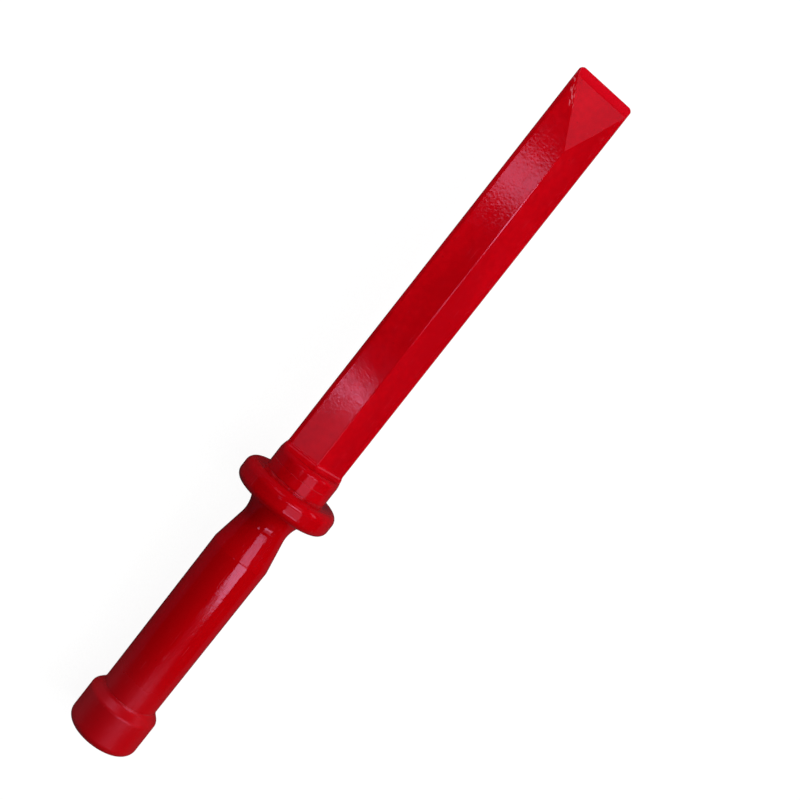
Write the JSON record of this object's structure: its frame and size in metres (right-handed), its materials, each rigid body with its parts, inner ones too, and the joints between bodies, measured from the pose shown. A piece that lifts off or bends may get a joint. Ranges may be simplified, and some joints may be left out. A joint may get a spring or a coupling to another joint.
{
  "type": "hive tool",
  "caption": "Red plastic hive tool: a ridged flat bar with a chisel tip, a round hand guard, a waisted barrel handle and a striking cap.",
  "frame": {"origin": "centre of the guard's front face, on the tool's long axis", "axes": "+X along the blade to the cutting edge, +Y across the blade's width, +Z out of its upper ridged face"},
  "size_m": [0.27, 0.0358, 0.0358],
  "materials": {
    "red_plastic": "satin, with a fine moulded grain"
  },
  "bodies": {
    "root": {"blade": "red_plastic", "collar": "red_plastic", "guard": "red_plastic", "grip": "red_plastic", "end_cap": "red_plastic"}
  },
  "joints": []
}
